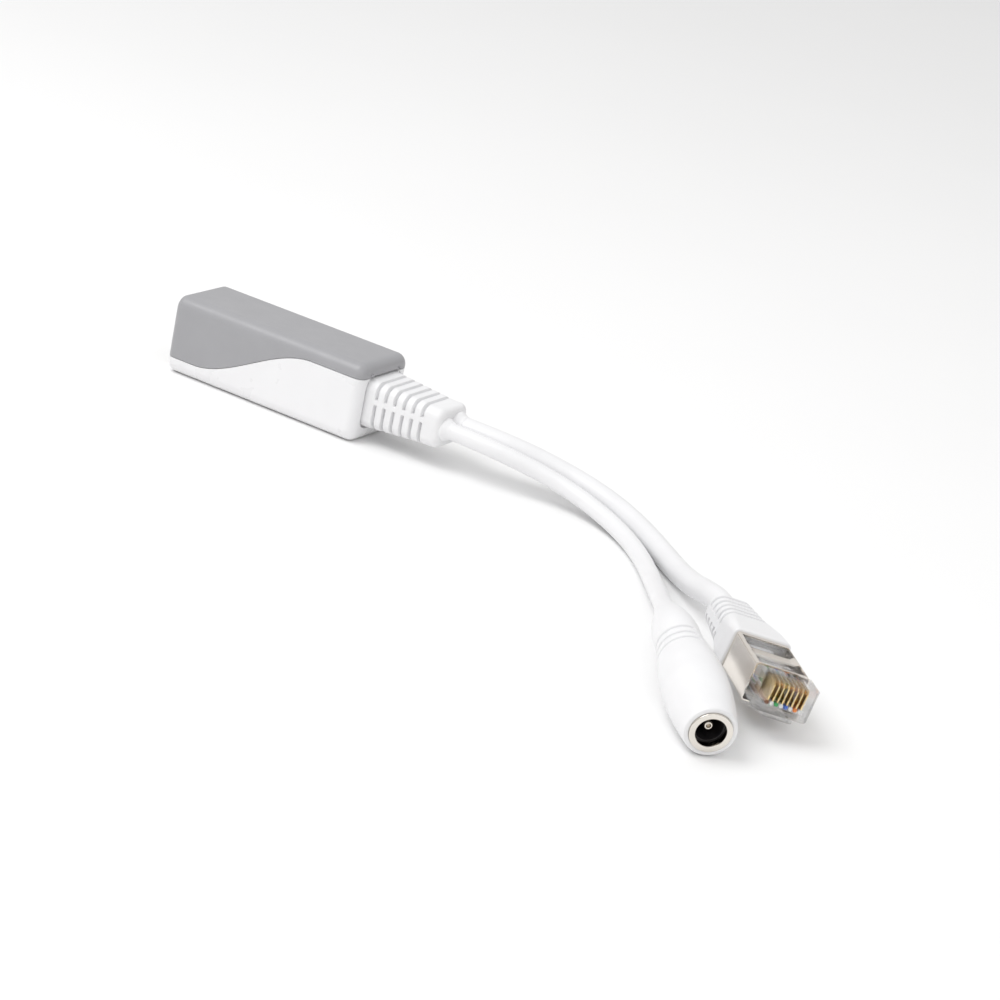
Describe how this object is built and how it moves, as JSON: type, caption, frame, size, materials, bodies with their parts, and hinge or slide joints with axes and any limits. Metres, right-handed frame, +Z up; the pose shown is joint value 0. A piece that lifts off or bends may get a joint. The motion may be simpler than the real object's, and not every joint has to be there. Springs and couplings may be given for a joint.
{
  "type": "poe injector",
  "caption": "Passive PoE injector with a two-tone box housing, an RJ45 socket, and short leads to a shielded RJ45 plug and a round DC jack.",
  "frame": {"origin": "middle of the housing's underside, on the surface it stands on", "axes": "+X along the housing towards its cable end, +Z up, +Y to the left seen from the socket end"},
  "size_m": [0.1978, 0.1005, 0.019],
  "materials": {
    "grey_shell": "fine satin moulded ABS, mid grey",
    "white_shell": "semi-gloss moulded ABS, white",
    "white_rubber": "soft moulded PVC, white",
    "lead_jacket": "extruded PVC jacket, white",
    "black_plastic": "moulded engineering plastic, black",
    "clear_plastic": "clear polycarbonate",
    "nickel": "nickel plate",
    "gold": "gold plate",
    "tin": "tinned copper and solder",
    "board": "glass-fibre laminate with green solder mask",
    "wire_insulation": "coloured insulation, orange, green, blue and brown pairs",
    "power_insulation": "red and black insulation"
  },
  "bodies": {
    "injector": {"top_shell": "grey_shell", "bottom_shell": "white_shell", "circuit_board": "board", "solder_pins": "tin", "socket_insert": "black_plastic", "socket_shield": "nickel", "data_wires": "wire_insulation", "power_wires": "power_insulation", "cable_boot": "white_rubber", "power_cable": "lead_jacket", "ethernet_cable": "lead_jacket", "plug_boot": "white_rubber", "plug_jacket": "lead_jacket", "plug_body": "clear_plastic", "plug_shield": "nickel", "plug_contacts": "gold", "plug_wires": "wire_insulation", "jack_body": "white_rubber", "jack_barrel": "nickel", "jack_insulator": "black_plastic", "jack_pin": "nickel", "jack_lugs": "tin", "jack_wires": "power_insulation"},
    "plug_catch": {"plug_latch": "clear_plastic"},
    "contact_springs": {"socket_contacts": "gold"},
    "jack_leaf": {"jack_spring": "gold"}
  },
  "joints": [
    {"name": "catch_flex", "type": "hinge", "parent": "injector", "child": "plug_catch", "pos_m": [0.16534, -0.06878, 0.00492], "axis": [0.7282, 0.6557, -0.1994], "range_deg": [0, 6.5], "stiffness_Nm_per_rad": 0.3},
    {"name": "contact_flex", "type": "hinge", "parent": "injector", "child": "contact_springs", "pos_m": [-0.0246, 0, 0.01495], "axis": [0, -1, 0], "range_deg": [0, 9], "stiffness_Nm_per_rad": 0.03},
    {"name": "leaf_flex", "type": "hinge", "parent": "injector", "child": "jack_leaf", "pos_m": [0.15506, -0.08118, 0.00955], "axis": [-0.766, -0.6428, 0], "range_deg": [0, 4.5], "stiffness_Nm_per_rad": 0.01}
  ]
}
